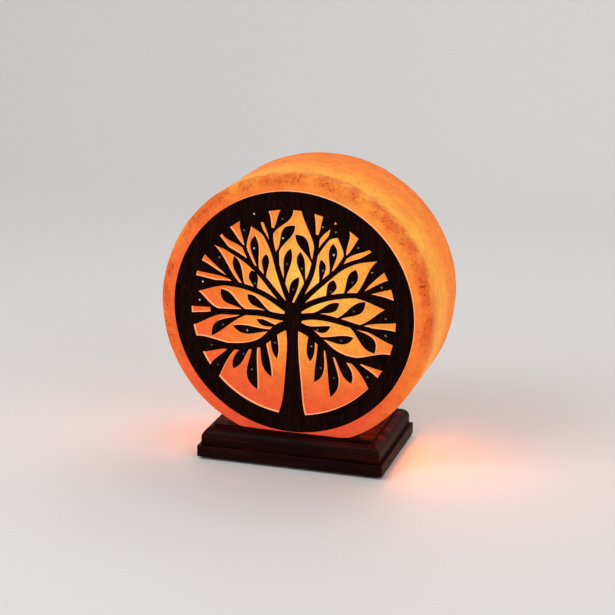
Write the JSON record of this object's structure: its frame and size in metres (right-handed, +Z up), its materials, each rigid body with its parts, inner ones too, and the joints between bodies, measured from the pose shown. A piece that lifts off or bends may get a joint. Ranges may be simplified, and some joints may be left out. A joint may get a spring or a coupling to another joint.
{
  "type": "salt crystal lamp",
  "caption": "Round rock salt lamp on a moulded dark wood plinth, with a cut-out wooden tree ring on its front and a small screw bulb in the bore of the salt.",
  "frame": {"origin": "on the table, under the middle of the plinth", "axes": "+X to the right as seen from the front, -Y towards the front with the tree, +Z up"},
  "size_m": [0.19, 0.094, 0.2044],
  "materials": {
    "salt": "rough, hand cut",
    "fretwork_wood": "stained, satin, charred edges",
    "plinth_wood": "stained, satin",
    "cut_glass": "polished",
    "rubber": "matt",
    "zinc_steel": "zinc plated",
    "holder_plastic": "matt",
    "porcelain": "glazed",
    "brass": "plain",
    "nickel": "plated",
    "solder": "dull",
    "black_glass": "glossy",
    "clear_glass": "polished",
    "tungsten": "wire"
  },
  "bodies": {
    "lamp": {"salt_drum": "salt", "tree_panel": "fretwork_wood", "panel_crystals": "cut_glass", "plinth": "plinth_wood", "feet": "rubber", "cord_grommet": "rubber", "access_plate": "zinc_steel", "plate_screws": "zinc_steel", "riser_tube": "zinc_steel", "lower_stem_nut": "zinc_steel", "upper_stem_nut": "zinc_steel", "stem_washer": "zinc_steel", "holder_cap": "holder_plastic", "grub_screw": "zinc_steel", "holder_shell": "holder_plastic", "contact_block": "porcelain", "screw_shell": "brass", "centre_contact": "brass", "terminal_blocks": "brass", "terminal_screws": "zinc_steel"},
    "bulb_contact": {"bulb_tip": "solder"},
    "bulb": {"bulb_insulator": "black_glass", "bulb_cap": "nickel", "bulb_glass": "clear_glass", "bulb_stem": "clear_glass", "bulb_lead_wires": "nickel", "bulb_filament": "tungsten", "filament_support": "nickel"}
  },
  "joints": [
    {"name": "bulb_lift", "type": "slide", "parent": "lamp", "child": "bulb_contact", "axis": [0, 0, 1], "range_m": [0, 0.00706]},
    {"name": "bulb_turn", "type": "hinge", "parent": "bulb_contact", "child": "bulb", "pos_m": [0, 0, 0.09], "axis": [0, 0, 1], "range_deg": [0, 900]}
  ],
  "couplings": [
    {"joint": "bulb_lift", "follows": "bulb_turn", "m_per_rad": 0.00044882}
  ]
}
